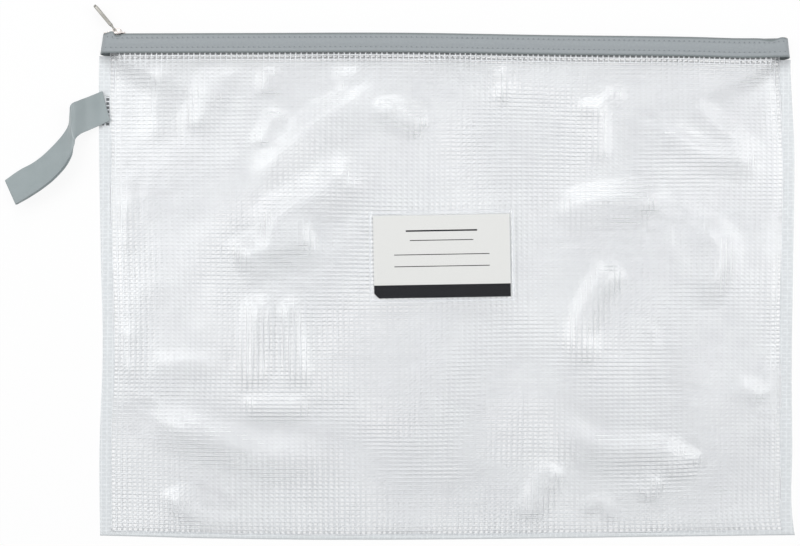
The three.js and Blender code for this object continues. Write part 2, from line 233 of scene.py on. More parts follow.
def mesh_of(name, points, faces, body=None, look=(), uv=None, material_of=None, sharp=None):
    """A piece from points in millimetres. uv gives each vertex its place on the cut cloth, and
    an edge between two vertices marked sharp stays crisp."""
    made = bpy.data.meshes.new(name)
    points = np.asarray(points, float).reshape(-1, 3) / 1000
    faces = [tuple(f) for f in np.asarray(faces).tolist()] if not isinstance(faces, list) else faces
    made.from_pydata(points.tolist(), [], faces, shade_flat=False)
    for material in look:
        made.materials.append(material)
    if uv is not None:
        corners = np.empty(len(made.loops), int)
        made.loops.foreach_get("vertex_index", corners)
        layer = made.uv_layers.new(name="cloth")
        layer.data.foreach_set("uv", np.asarray(uv, float).reshape(-1, 2)[corners].ravel())
    if material_of is not None:
        made.polygons.foreach_set("material_index", np.asarray(material_of, np.int32))
    if sharp is not None:
        ends = np.empty(2 * len(made.edges), np.int32)
        made.edges.foreach_get("vertices", ends)
        made.edges.foreach_set("use_edge_sharp", sharp[ends.reshape(-1, 2)].all(axis=1))
    made.update()
    piece = bpy.data.objects.new(name, made)
    scene.collection.objects.link(piece)
    if body:
        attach(piece, body)
    return piece


def quads(rows, columns, closed=False):
    """Faces of a grid of rows by columns of vertices, going round its columns if closed."""
    r = np.arange(rows - 1)[:, None]
    c = np.arange(columns if closed else columns - 1)[None, :]
    following = (c + 1) % columns
    a, b = r * columns + c, r * columns + following
    return np.stack([a, b, b + columns, a + columns], -1).reshape(-1, 4)


def tube_faces(rings, sides, count=1, flip=False):
    """Faces of count tubes, one after the other, each of so many rings with so many sides and
    closed at both ends; flip turns them round."""
    size = rings * sides
    one = [tuple(face) for face in quads(rings, sides, closed=True).tolist()]
    one += [tuple(range(sides))[::-1], tuple(range(size - sides, size))]
    one = [face[::-1] for face in one] if flip else one
    return [tuple(k * size + i for i in face) for k in range(count) for face in one]


def film_mesh(name, middle, thick, first=0, cloth=None, **finish):
    """A closed film between two like surfaces, thick apart across a grid of middle points. Its
    cloth coordinates are those given, or else count yarns, the columns from first on."""
    rows, columns = middle.shape[:2]
    half = unit(np.cross(np.gradient(middle, axis=1), np.gradient(middle, axis=0))) * thick / 2
    points = np.concatenate([(middle + half).reshape(-1, 3), (middle - half).reshape(-1, 3)])
    upper = quads(rows, columns)
    lower = upper[:, ::-1] + rows * columns
    at = np.arange(rows * columns).reshape(rows, columns)
    walls = []
    for line, way in ((at[0], 1), (at[-1], -1), (at[:, 0], -1), (at[:, -1], 1)):
        line = line[::way]
        low = line + rows * columns
        walls.append(np.stack([low[:-1], low[1:], line[1:], line[:-1]], -1))
    faces = np.concatenate([upper, lower] + walls)
    row, column = np.mgrid[0:rows, 0:columns]
    cloth = np.stack([column + first, row] if cloth is None else cloth, -1)
    uv = np.tile(cloth.reshape(-1, 2), (2, 1))
    inner = np.zeros(len(faces), int)
    inner[len(upper) : 2 * len(upper)] = 1
    rim = np.ones((rows, columns), bool)
    rim[1:-1, 1:-1] = False
    return mesh_of(
        name, points, faces, uv=uv, material_of=inner, sharp=np.tile(rim.ravel(), 2), **finish
    )


def yarn_mesh(name, lines, width, lift=0.0, **finish):
    """Flat yarns, one along each row of lines, with a lens-shaped section of that width and
    YARN_THIN high, its flat way across the yarn in the plane of the cloth."""
    count, steps, _ = lines.shape
    along = unit(np.gradient(lines, axis=1))
    side = unit(np.cross(np.array([0.0, 0, 1]), along))
    up = np.cross(along, side)
    shape = [(-0.5, 0), (0, 0.5), (0.5, 0), (0, -0.5)]
    ring = np.stack(
        [lines + side * width * a + up * (YARN_THIN * b + lift) for a, b in shape[::-1]], axis=2
    )
    one = quads(steps, 4, closed=True)
    ends = np.array([[3, 2, 1, 0], [steps * 4 - 4, steps * 4 - 3, steps * 4 - 2, steps * 4 - 1]])
    faces = np.concatenate([one, ends])[None] + (np.arange(count) * steps * 4)[:, None, None]
    edges = np.arange(ring.size // 3) % 2 == 0
    return mesh_of(name, ring.reshape(-1, 3), faces.reshape(-1, 4), sharp=edges, **finish)


def back_height(x, y):
    """Height of the middle of the back film: on the table, lifting in low ripples away from the
    seams, and stepping up to pass inside the tape."""
    inside = smooth((212 - abs(x)) / 40) * smooth((y + 156) / 40) * smooth((150 - y) / 25)
    ripple = 0.45 * (1 + waves(x, y, 70, 3)) * inside
    return FILM / 2 + 0.02 + ripple + step_up(y)


def weld_height(u, v):
    """Height of the middle of a weld: near the table in slow, shallow waves."""
    lift = 0.25 * (1 + waves(u, v, 55, 61)) * smooth((146 - v) / 20)
    return WELD / 2 + 0.03 + lift + step_up(v)


def cloth_grid(low, high, step, drift, seed):
    """Crossings of the scrim's yarns: even steps from low to high, each yarn a little off its
    place, and the whole drawn out of true by drift inside the seams."""
    columns = round((high[0] - low[0]) / step[0])
    rows = round((high[1] - low[1]) / step[1])
    dice = np.random.default_rng(seed)
    u = np.linspace(low[0], high[0], columns + 1)
    v = np.linspace(low[1], high[1], rows + 1)
    u[1:-1] += dice.normal(0, 0.11, columns - 1)
    v[1:-1] += dice.normal(0, 0.09, rows - 1)
    u, v = np.meshgrid(u, v)
    across = np.cos(np.pi * u / (high[0] - low[0]))
    along = np.sin(np.pi * (v - low[1]) / (high[1] - low[1]))
    return (
        u + drift * waves(u, v, 190, seed + 1) * np.clip(across * 2, 0, 1),
        v + drift * waves(u, v, 170, seed + 2) * np.clip(along * 2, 0, 1),
    )


def principled(name, **sockets):
    """A material, its node tree and its Principled BSDF, with those values on its sockets."""
    material = bpy.data.materials.new(name)
    material.use_nodes = True
    shader = material.node_tree.nodes["Principled BSDF"]
    for socket, value in sockets.items():
        shader.inputs[socket.replace("_", " ")].default_value = value
    return material, material.node_tree, shader


def feed(tree, shader, **results):
    """Joins each result to the shader's socket of that name."""
    for socket, result in results.items():
        tree.links.new(result, shader.inputs[socket.replace("_", " ")])


def placed(tree):
    """Where a point is on the object, in metres."""
    return wire(tree, "TexCoord").outputs["Object"]


def on_cloth(tree):
    """Where a point is on the cut cloth."""
    return wire(tree, "UVMap", uv_map="cloth").outputs[0]


def split(tree, vector):
    """The X, Y and Z of a vector."""
    return wire(tree, "SeparateXYZ", vector).outputs


def noise(tree, scale, detail=2):
    """Fine noise all over the object."""
    return wire(tree, "TexNoise", Scale=scale, Detail=detail, Vector=placed(tree)).outputs[0]


def tone(tree, share, first, second):
    """The colour at that share of the way from the first to the second."""
    return wire(tree, "Mix", data_type="RGBA", Factor=share, A=first, B=second).outputs["Result"]


def spread(tree, value, low, high, start=0, end=1, **settings):
    """low to high, as the value goes from start to end."""
    return wire(tree, "MapRange", value, start, end, low, high, **settings).outputs[0]


def near(tree, off, reach):
    """1 where off is 0, falling to 0 where it is reach or more."""
    return calc(tree, "SUBTRACT", 1.0, calc(tree, "DIVIDE", off, reach), clamp=True)


def dent(tree, shader, height, depth, strength=1):
    """Gives the shader a surface uneven by height, depth metres deep where it is 1."""
    bump = wire(tree, "Bump", Strength=strength, Distance=depth, Height=height)
    feed(tree, shader, Normal=bump.outputs[0])


def node_group(name, inputs, outputs):
    """A new shader node group with inputs and outputs of those names and kinds; what it is
    given, and where its results go."""
    group = bpy.data.node_groups.new(name, "ShaderNodeTree")
    for way, sockets in (("INPUT", inputs), ("OUTPUT", outputs)):
        for label, kind in sockets.items():
            group.interface.new_socket(label, in_out=way, socket_type="NodeSocket" + kind)
    given, results = (group.nodes.new("NodeGroup" + way) for way in ("Input", "Output"))
    return group, given.outputs, results.inputs


# Mottling, which most of the finishes have: from dark to light with fine noise.
mottling, given, results = node_group(
    "mottling",
    {"Scale": "Float", "Detail": "Float", "Dark": "Color", "Light": "Color"},
    {"Share": "Float", "Tone": "Color"},
)
share = noise(mottling, given["Scale"], given["Detail"])
mottling.links.new(share, results["Share"])
mottling.links.new(tone(mottling, share, given["Dark"], given["Light"]), results["Tone"])


def spots(tree, scale, detail, dark, light):
    """The mottling with those values: its share of light, and its tone."""
    return wire(
        tree, "Group", node_tree=mottling, Scale=scale, Detail=detail, Dark=dark, Light=light
    ).outputs


def mottled(name, scale, dark, light, detail=2, worn=None, grain=None, **sockets):
    """A mottled material, whose mottling also runs over the roughnesses worn and the dents
    grain, their depth and strength, where those are given."""
    material, tree, shader = principled(name, **sockets)
    spotted = spots(tree, scale, detail, dark, light)
    feed(tree, shader, Base_Color=spotted["Tone"])
    if worn:
        feed(tree, shader, Roughness=spread(tree, spotted["Share"], *worn))
    if grain:
        dent(tree, shader, spotted["Share"], *grain)
    return material


# The scrim pressed into the film: 1 over a yarn and 0 in the middle of a window, from the
# film's cloth coordinates, which count yarns.
scrim_relief, given, results = node_group(
    "scrim_relief", {"Cloth": "Vector", "Wide": "Float", "Soft": "Float"}, {"Yarn": "Float"}
)
parts = split(scrim_relief, given["Cloth"])
sides = []
for axis in ("X", "Y"):
    across = calc(scrim_relief, "PINGPONG", parts[axis], 0.5)
    past = calc(scrim_relief, "SUBTRACT", across, given["Wide"])
    fall = calc(scrim_relief, "DIVIDE", past, given["Soft"], clamp=True)
    sides.append(calc(scrim_relief, "SUBTRACT", 1.0, fall, clamp=True))
scrim_relief.links.new(calc(scrim_relief, "MAXIMUM", *sides), results["Yarn"])


def film_look(name, color, alpha, roughness, relief, coat):
    """Clear soft film: its gloss breaks up over the yarns pressed into it, its surface is
    slightly uneven, hazy patches vary how much of it shows, and it clears where it is
    pulled tight beside the tapes. Its coat makes up for the shine that Alpha takes away."""
    material, tree, shader = principled(
        name, Base_Color=(*color, 1), Roughness=roughness, Alpha=alpha, IOR=1.7,
        Coat_Weight=coat, Coat_Roughness=0.26, Coat_IOR=1.9,
    )
    pressed = wire(
        tree, "Group", node_tree=scrim_relief, Cloth=on_cloth(tree), Wide=0.16, Soft=0.2
    ).outputs["Yarn"]
    dent(tree, shader, calc(tree, "MULTIPLY_ADD", noise(tree, 260), 0.35, pressed), relief)
    shown = spread(tree, noise(tree, 22, 3), alpha * 0.85, alpha * 1.2, 0.35, 0.7)
    tight = spread(
        tree, split(tree, placed(tree))["Y"], 1, 0.3, 0.141, 0.1475, interpolation_type="SMOOTHSTEP"
    )
    feed(tree, shader, Alpha=calc(tree, "MULTIPLY", shown, tight))
    return material


film_outside = film_look("film_outside", (0.885, 0.902, 0.92), 0.4, 0.28, 0.00015, 1.0)
film_inside = film_look("film_inside", (0.9, 0.91, 0.93), 0.05, 0.30, 0.00005, 0.0)

# The yarn is white and many-stranded, and soaked with film, so that some light comes through.
scrim_yarn = mottled(
    "scrim_yarn", 900, (0.825, 0.84, 0.857, 1), (0.92, 0.931, 0.944, 1), grain=(0.00008, 0.5),
    Base_Color=(0.88, 0.885, 0.89, 1), Roughness=0.5,
)

back_u, back_v = cloth_grid(BACK_LOW, BACK_HIGH, BACK_STEP, 1.3, 11)
back_crossings = laid(back_u, back_v, back_height(back_u, back_v))
back_film = film_mesh(
    "back_film", back_crossings, FILM, body="back_half", look=(film_inside, film_inside)
)


def scrim(panel, upright, level, end="", **finish):
    """The yarns through a panel's crossings: the level ones are a little narrower, and lie over
    the upright ones."""
    return [
        yarn_mesh(f"{panel}_scrim_{way}{end}", lines, width, lift, look=(scrim_yarn,), **finish)
        for way, lines, width, lift in (
            ("upright", upright.transpose(1, 0, 2), YARN_WIDE, 0.0),
            ("level", level[:-1], YARN_WIDE * 0.95, 0.01),
        )
    ]


back_yarns = scrim("back", back_crossings, back_crossings, body="back_half")
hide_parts("back_panel")
for piece in (back_film, *back_yarns):
    piece.visible_shadow = False  # clear film and soaked yarn let the light on through

# Front panel: the same film and scrim, lying slack over the back and creased from being folded
# and handled. It's in two halves that meet under the label.
FRONT_STEP = (3.35, 2.6)
FRONT_HIGH = (212.7, 153.6)
FRONT_TOP = 8.9
LABEL_AT = (-3.2, 19.5)
MEETING = 64
MOUTH_ENDS = {"left": (-1, -0.212, -0.05), "right": (1, 0.212, 0.045)}  # side, shut to, free from

# Each crease is the line of its steep side, as it shows: points, how high it lifts, how wide
# its steep side and its long side are. The steep side falls to the right of the way it's drawn.
CREASES = [
    ([(-172, 143), (-182, 135), (-187, 119), (-188, 100), (-187, 90)], 1.6, 6.8, 16),
    ([(-150, 143), (-159, 122), (-164, 106), (-162, 99), (-153, 94)], 1.6, 6.8, 14),
    ([(-153, 94), (-148, 103), (-139, 122), (-128, 138)], 2.2, 6.8, 14),
    ([(-113, 141), (-117, 129), (-117, 119)], 2.2, 6.8, 12),
    ([(-109, 115), (-117, 100), (-122, 88)], 2.7, 8.1, 16),
    ([(-47, 135), (-64, 122), (-86, 109), (-102, 94), (-117, 81), (-130, 73)], 4.0, 12.0, 30),
    ([(-61, 87), (-80, 71), (-100, 58), (-116, 46), (-128, 38)], 5.4, 16.5, 28),
    ([(-74, 138), (-65, 125), (-50, 137)], 2.2, 6.8, 10),
    ([(-10, 104), (-20, 110), (-34, 118), (-36, 122)], 4.0, 12.0, 14),
    ([(28, 138), (34, 128), (28, 119)], 2.2, 6.8, 9),
    ([(108, 131), (92, 118), (83, 120)], 2.2, 6.8, 10),
    ([(99, 77), (100, 88), (98, 112), (92, 118)], 2.2, 6.8, 12),
    ([(202, 84), (184, 99), (155, 124)], 1.9, 8.1, 14),
    ([(200, 68), (190, 83), (160, 93), (132, 107)], 2.2, 9.5, 16),
    ([(142, 52), (127, 61), (92, 61), (63, 52)], 4.5, 13.5, 23),
    ([(160, -14), (175, 3), (176, 33), (154, 46)], 3.2, 13.5, 18),
    ([(96, -50), (91, -33), (97, -14), (114, 14)], 4.5, 13.5, 16),
    ([(-122, 0), (-127, -30), (-128, -60), (-120, -70)], 4.0, 12.0, 14),
    ([(-86, -66), (-92, -30), (-93, -2)], 4.0, 12.0, 12),
    ([(-85, -69), (-105, -71), (-130, -68)], 3.1, 9.5, 14),
    ([(-73, -101), (-118, -97), (-156, -85), (-188, -75)], 4.5, 13.5, 23),
    ([(-125, -148), (-156, -145), (-168, -123)], 4.0, 12.0, 16),
    ([(160, -104), (129, -97), (97, -95), (69, -81)], 4.0, 12.0, 21),
    ([(139, -123), (158, -116), (162, -104)], 2.2, 9.5, 14),
    ([(56, -154), (62, -138), (75, -113)], 4.0, 12.0, 16),
    ([(128, -139), (139, -123)], 2.7, 8.1, 12),
    ([(90, -148), (95, -141), (101, -154)], 2.2, 6.8, 9),
    ([(-80, 40), (-112, 33), (-140, 22)], 5.0, 15.0, 23),
    ([(-140, -45), (-165, -43), (-190, -44)], 1.9, 8.1, 16),
    ([(205, -70), (196, -62), (180, -58)], 1.9, 8.1, 12),
    ([(-205, -20), (-209, -40), (-203, -62)], 1.6, 6.8, 12),
    ([(-207, 60), (-209, 40), (-206, 20)], 1.6, 6.8, 10),
]
# Places that are crumpled into small dents: where, how far out, and how deep.
CRUMPLES = [
    (-24, 112, 15, 0.5), (132, 103, 20, 0.5), (-95, 25, 34, 0.42), (128, 30, 34, 0.4),
    (132, -34, 12, 0.5), (-48, -79, 12, 0.35), (-140, -115, 32, 0.35), (150, -110, 22, 0.45),
    (62, -130, 16, 0.5), (-190, 60, 20, 0.4), (-195, -70, 22, 0.45), (205, -80, 16, 0.4),
    (53, -53, 10, 0.35), (40, -81, 12, 0.35), (75, 125, 26, 0.35), (10, 128, 24, 0.3),
]


def crease_height(x, y, line, lift, steep, slack):
    """A long one-sided fold: rising by lift across its steep side, which lies along the line,
    falling away over slack beyond it, and dying out at both ends."""
    line = np.asarray(line, float)
    run = np.r_[0, np.cumsum(np.linalg.norm(np.diff(line, axis=0), axis=1))]
    fine = np.linspace(0, run[-1], 4 * len(line))
    line = np.stack([flowing(run, line[:, 0], fine), flowing(run, line[:, 1], fine)], -1)
    closest = np.full(x.shape, 1e9)
    off = np.zeros(x.shape)
    share = np.zeros(x.shape)
    for i, (a, b) in enumerate(zip(line[:-1], line[1:])):
        way = b - a
        reach = way @ way
        t = np.clip(((x - a[0]) * way[0] + (y - a[1]) * way[1]) / reach, 0, 1)
        dx, dy = x - a[0] - t * way[0], y - a[1] - t * way[1]
        far = np.hypot(dx, dy)
        left = np.sign(way[0] * dy - way[1] * dx)
        closer = far < closest
        closest = np.where(closer, far, closest)
        off = np.where(closer, far * left, off)
        share = np.where(closer, (i + t) / (len(line) - 1), share)
    ends = smooth(share / 0.22) * smooth((1 - share) / 0.22)
    climb = 0.3 * smooth(off / steep + 0.5) + 0.7 * np.clip(off / steep + 0.5, 0, 1)
    return lift * ends * climb * (1 - smooth((off - steep / 2) / slack))


def front_height(x, y):
    """Height of the middle of the front film: a quick rise off each seam, then a long one to
    the depth of the zipper, with the creases, crumples and slow ripples added away from the
    seams and the label."""
    side = FRONT_HIGH[0] - abs(x)
    foot = y - BACK_LOW[1]
    corner = smooth((147 - y) / 40)
    uneven = 1 + 0.35 * waves(x, y, 60, 21)
    quick_side = 1 - np.exp(-((np.maximum(side, 0) / (2.6 + 3.4 * corner * uneven)) ** 1.3))
    quick_foot = 1 - np.exp(-((np.maximum(foot, 0) / (6 * uneven)) ** 1.3))
    long_side = smooth(side / (8 + 82 * corner))
    long_foot = smooth(foot / 100)
    rise = (0.36 + 0.64 * long_side) * quick_side * (0.3 + 0.7 * long_foot) * quick_foot
    edge = 0.95 + step_up(y)
    z = edge + (FRONT_TOP - edge) * rise
    slack = sum(crease_height(x, y, *crease) for crease in CREASES)
    for px, py, wide, deep in CRUMPLES:
        slack += deep * waves(x, y, 11, 31) * np.exp(-((x - px) ** 2 + (y - py) ** 2) / wide**2)
    slack += 0.5 * waves(x, y, 62, 41) + 0.16 * waves(x, y, 24, 42)
    inside = smooth(side / 14) * smooth(foot / 16) * smooth((146.5 - y) / 9)
    beside = smooth((abs(x - LABEL_AT[0]) - 46) / 14)
    clear = np.maximum(beside, smooth((abs(y - LABEL_AT[1]) - 29) / 14))
    return z + np.clip(slack - 1, -2.6, 4.6) * inside * clear


def bow_open(piece):
    """Bakes the piece's placement into its mesh."""
    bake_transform(piece)


front_u, front_v = cloth_grid(BACK_LOW, FRONT_HIGH, FRONT_STEP, 1.2, 51)
front_crossings = laid(front_u, front_v, front_height(front_u, front_v))
for end in MOUTH_ENDS:
    cut = slice(0, MEETING + 1) if end == "left" else slice(MEETING, None)
    own = slice(0, MEETING + 1) if end == "left" else slice(MEETING + 1, None)
    film = film_mesh(
        f"front_film_{end}",
        front_crossings[:, cut],
        FILM,
        look=(film_outside, film_inside),
        first=cut.start,
    )
    yarns = scrim("front", front_crossings[:, own], front_crossings[:, cut], f"_{end}")
    for piece in (film, *yarns):
        bow_open(piece)
        piece.visible_shadow = False
    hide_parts("front_panel")

# Welded seams: both films and their scrims melted together into one clear strip down each side
# and along the foot, a little cloudy, with the scrim printed in its faces; darker and less clear
# along the outer edge at the foot.
WELD_TONE = (0.68, 0.705, 0.722, 1)
YARNS_APART = (0.0034, 0.00262)
weld_look, tree, shader = principled(
    "welded_film", Base_Color=WELD_TONE, Roughness=0.3, Alpha=0.7, IOR=1.5
)
melt = noise(tree, 420, 3)
dent(tree, shader, melt, 0.00006, 0.8)
cloudy = spread(tree, melt, 0.66, 0.74, 0.35, 0.7)
rim = near(tree, split(tree, on_cloth(tree))["Y"], 2.0)
rim_tone = tone(tree, rim, WELD_TONE, (0.4, 0.42, 0.43, 1))
across = split(tree, placed(tree))
printed = [
    near(tree, calc(tree, "PINGPONG", across[axis], pitch / 2), 0.0007)
    for axis, pitch in (("X", YARNS_APART[0]), ("Y", YARNS_APART[1]))
]
yarns = calc(tree, "MULTIPLY", calc(tree, "MAXIMUM", *printed), melt)
yarns = calc(tree, "SUBTRACT", yarns, rim, clamp=True)
feed(
    tree, shader,
    Alpha=calc(tree, "MULTIPLY_ADD", rim, 0.5, cloudy, clamp=True),
    Base_Color=tone(tree, yarns, rim_tone, (0.9, 0.925, 0.94, 1)),
)


def weld_strip(name, u, v, node):
    """A welded strip over the cut places u, v, lying on the table with slow, shallow waves."""
    middle = laid(u, v, weld_height(u, v))
    strip = film_mesh(name, middle, WELD, body="back_half", look=(weld_look, weld_look))
    strip.visible_shadow = False
    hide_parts(node)


up = np.concatenate([[-160, -159.7, -158.9], np.linspace(-158, 146.7, 116)])
for end, (side, *_) in MOUTH_ENDS.items():
    across = np.sort(side * np.array([212.2, 212.8, 214.5, 216.2, 218, 219.6, 220]))
    weld_strip(f"{end}_side_weld", *np.meshgrid(across, up), f"{end}_side_seal")
up = [-160, -159.7, -158.9, -158.1, -157.2, -156.4]
weld_strip("foot_weld", *np.meshgrid(np.linspace(-212.1, 212.1, 160), up), "bottom_seal")

# Zipper tapes: two grey woven bands, each folded over the mouth's edge with its lower edge
# stitched to a panel, and turned in at both ends to close the zipper.
TAPE = 0.5
TAPE_END = 218.2
SLIDER_LIP = 1.7
BACK_TAPE_LOWER = 0.8


def tape_section(x, s):
    """Middle of the front tape at x, s from 0 at its lower edge to 1 at its inner edge: a
    shallow band dented along both seams, and a fold that stands up beyond the slider and over
    the foot stop, and dips at both ends of the slider's way, where its crown pushes it down."""
    lip = SLIDER_LIP * np.exp(-(((x + 211.6) / np.where(x < -211.6, 4.2, 1.1)) ** 2))
    lip = lip + 0.8 * np.exp(-(((x - 213.0) / 3.5) ** 2))
    dip = 1.6 * np.exp(-(((x + 208.0) / 2.6) ** 2)) + 1.5 * np.exp(-(((x - 206.5) / 6.0) ** 2))
    dip = dip + 0.8 * smooth((x - 216.0) / 2.2)
    at = [0, 0.07, 0.2, 0.37, 0.55, 0.66, 0.74, 0.8, 1]
    y = [147.5, 148.4, 150.7, 153.6, 156.7, 158.5, 159.4, 159.68, 159.7]
    z = [9.70, 9.86, 9.80, 10.02, 9.84, 9.86, 9.45, 8.85, 6.25]
    raised = flowing(at, [0, 0, 0, 0, 0.2, 0.95, 1, 0.15, 0], s)
    pushed = flowing(at, [0, 0, 0, 0, 0.15, 0.8, 1, 0.7, 0], s)
    return flowing(at, y, s) + lip * raised - dip * pushed, flowing(at, z, s) + 0.12 * lip * raised


def tape_grid(x, s, front):
    """Points of the front tape, or of the back one, which mirrors it. Its ends curve in towards
    the middle of the zipper as quarter ellipses, and slant in as they go up."""
    y, z = tape_section(x, s)
    high = (y - 147) / 13
    end = TAPE_END - 0.2 - 1.0 * high + 0.9 * (1 - high)
    out = x * np.where(abs(x) > 190, 1 + (end / TAPE_END - 1) * smooth((abs(x) - 190) / 28), 1)
    turn = 1 - np.sqrt(1 - np.clip((abs(x) - (TAPE_END - 5)) / 5, 0, 1) ** 2 + 1e-9)
    shut = 5.1 - 3.3 * np.clip(1 - high, 0, 1)
    if front:
        z = z + (shut + 0.27 - z) * turn
    else:
        z = 0.27 + (10.02 - z)
        z = z + (np.minimum(shut, 4.85) - 0.27 - z) * turn
        y = y - BACK_TAPE_LOWER * np.clip(1 - high * 4, 0, 1) * (1 - turn)
    return laid(out, y, z)


tape_look, tree, shader = principled(
    "zipper_tape", Base_Color=(0.325, 0.353, 0.367, 1), Roughness=0.62, Sheen_Weight=0.15
)
STITCH_APART = 3.2
cloth = on_cloth(tree)
weave = wire(
    tree, "TexWave", bands_direction="DIAGONAL", Vector=cloth, Scale=0.55, Distortion=0.4
).outputs["Fac"]
fleck = wire(tree, "TexNoise", Vector=cloth, Scale=0.7, Detail=4).outputs[0]
parts = split(tree, cloth)
marks = []
for row in (3.5, 9.75):  # the seams, above the lower edge
    off = calc(tree, "ABSOLUTE", calc(tree, "SUBTRACT", parts["Y"], row))
    marks.append(near(tree, off, 0.45))
holes = near(tree, calc(tree, "PINGPONG", parts["X"], STITCH_APART / 2), 0.6)
needled = calc(tree, "MULTIPLY", calc(tree, "MAXIMUM", *marks), holes)
marked = tone(tree, fleck, (0.285, 0.312, 0.328, 1), (0.35, 0.378, 0.394, 1))
marked = tone(tree, needled, marked, (0.12, 0.13, 0.14, 1))
# Painted shade: the tape is drawn darker within about a millimetre of its lower edge, and all over
# its fold and the part turned in beyond it, where shade falls.
from_edge = calc(tree, "MINIMUM", parts["Y"], calc(tree, "SUBTRACT", 12.1, parts["Y"]))
edge_shade = calc(tree, "SUBTRACT", 1.35, calc(tree, "DIVIDE", from_edge, 1.1), clamp=True)
edge_shaded_tone = tone(tree, calc(tree, "MULTIPLY", edge_shade, 0.8), marked, (0.14, 0.165, 0.165, 1))
feed(tree, shader, Base_Color=edge_shaded_tone)
dent(tree, shader, calc(tree, "MULTIPLY_ADD", fleck, 0.6, weave), 0.00008, 0.35)

# Inside the mouth the front tape's other leg reaches a little further down behind the film.
# Its colour is painted shade, far darker than the tape's own grey, so that it shows dark in
# the first row of windows.
shaded_leg_look = mottled(
    "tape_inside_painted_shade", 500, (0.11, 0.12, 0.125, 1), (0.2, 0.215, 0.22, 1),
    Base_Color=(0.15, 0.16, 0.165, 1), Roughness=0.8,
)

profile = np.concatenate(
    [np.linspace(0, 0.6, 22), np.linspace(0.62, 0.84, 16), np.linspace(0.87, 1, 4)]
)
steps = np.hypot(*np.diff(tape_section(np.zeros(profile.size), profile), axis=1))
up_tape = np.concatenate([[0], np.cumsum(steps)])
bend = TAPE_END - 5 + 5 * np.sin(np.linspace(0, np.pi / 2, 10))
outwards = np.concatenate([np.linspace(2, 188, 60), np.linspace(190, 213, 36), bend[1:]])
for word in ("front", "back"):
    for end, (side, *_) in MOUTH_ENDS.items():
        along = outwards if side > 0 else np.append(-outwards[::-1], 2)
        tape_x, tape_s = np.meshgrid(along, profile)
        tape = film_mesh(
            f"{word}_tape_{end}",
            tape_grid(tape_x, tape_s, word == "front"),
            TAPE,
            cloth=(tape_x, np.broadcast_to(up_tape[:, None], tape_x.shape)),
            look=(tape_look, tape_look),
        )
        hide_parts(f"zipper_tape_{word}", f"{end}_tape_end_{word}")
        if word == "back":
            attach(tape, "back_half")
            continue
        bow_open(tape)
        u, v = np.meshgrid(np.sort(side * np.linspace(-2, 207, 90)), np.linspace(0, 1, 9))
        v = 152.5 - v[::-1] * (7.3 - 1.1 * smooth((u + 110) / 160) + 0.3 * waves(u, v, 90, 72))
        z = front_height(u, v) - (FILM + TAPE) / 2 - 0.08
        leg = film_mesh(f"front_tape_inner_{end}", laid(u, v, z), TAPE, look=(shaded_leg_look, shaded_leg_look))
        bow_open(leg)

# Stitching: polyester thread in short lockstitches, sunk a little into the tape. One row holds
# each panel to its tape and one holds each coil.
STITCH_LONG = 2.5
THREAD = 0.2


def stitch_row(name, starts, at, up, **finish):
    """Small bent capsules, one from each start: each ring is a hexagon, squeezed shut at both
    ends and dipped there. at(x) gives the middle of the row; up is 1 where it faces up and -1
    where it faces down."""
    t = np.array([0, 0.12, 0.35, 0.65, 0.88, 1])
    fat = THREAD * np.array([0.35, 0.85, 1, 1, 0.85, 0.35])
    dip = THREAD * np.array([-1.1, -0.35, 0, 0, -0.35, -1.1])
    turn = np.arange(6) * np.pi / 3
    middle = at(starts[:, None] + STITCH_LONG * t)
    middle[..., 2] += up * dip
    around = up * np.stack([0 * turn, np.cos(turn), np.sin(turn)], -1)
    ring = middle[:, :, None] + fat[:, None, None] * around
    return mesh_of(name, ring, tube_faces(6, 6, len(starts)), look=(thread_look,), **finish)


thread_look, tree, shader = principled(
    "sewing_thread", Base_Color=(0.27, 0.3, 0.31, 1), Roughness=0.6
)
ply = wire(
    tree, "TexWave", bands_direction="DIAGONAL", Scale=900, Vector=placed(tree)
).outputs["Fac"]
feed(tree, shader, Base_Color=tone(tree, ply, (0.2, 0.22, 0.23, 1), (0.3, 0.33, 0.34, 1)))
dent(tree, shader, ply, 0.00005)


def on_tape(x, share, front):
    """Where stitches lie on the outer face of a tape, at that share of its section."""
    lift = TAPE / 2 - THREAD * 0.25
    return tape_grid(x, share, front) + [0, 0, lift if front else -lift]


SEWN_TO = 212
ROWS = {"seam": 0.2, "coil": 0.55}  # their shares of the tape's section
for end, (side, *_) in MOUTH_ENDS.items():
    run = (-SEWN_TO, 2) if side < 0 else (2, SEWN_TO)
    starts = np.arange(run[0], run[1] - STITCH_APART, STITCH_APART)
    for row, share in ROWS.items():
        stitches = stitch_row(
            f"front_{row}_stitches_{end}", starts, lambda x: on_tape(x, share, True), 1
        )
        bow_open(stitches)
        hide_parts(f"{row}_thread_front")
starts = np.arange(-SEWN_TO, SEWN_TO - STITCH_APART, STITCH_APART)
for row, share in ROWS.items():
    stitches = stitch_row(
        f"back_{row}_stitches", starts, lambda x: on_tape(x, share, False), -1, body="back_half"
    )
# The inner side of the back seam's stitches, on the margin of the back panel.
stitches = stitch_row(
    "back_seam_inner_stitches", starts, lambda x: laid(x, 150.5, 1.42), 1, body="back_half"
)
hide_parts("seam_thread_back")

# Coil chain: two rows of nylon loops, each sewn to the inner edge of a tape. The loops' heads
# lock between each other, and part round the front of the slider.
LOOP_PITCH = 1.2
LOOP_FROM, LOOP_TO = -214.3, 211.9
COIL_MIDDLE_Y = 158.45
PARTED = 1.1
nylon, tree, shader = principled("coil_nylon", Base_Color=(0.27, 0.3, 0.31, 1), Roughness=0.38)
feed(tree, shader, Roughness=spread(tree, noise(tree, 500), 0.3, 0.5))


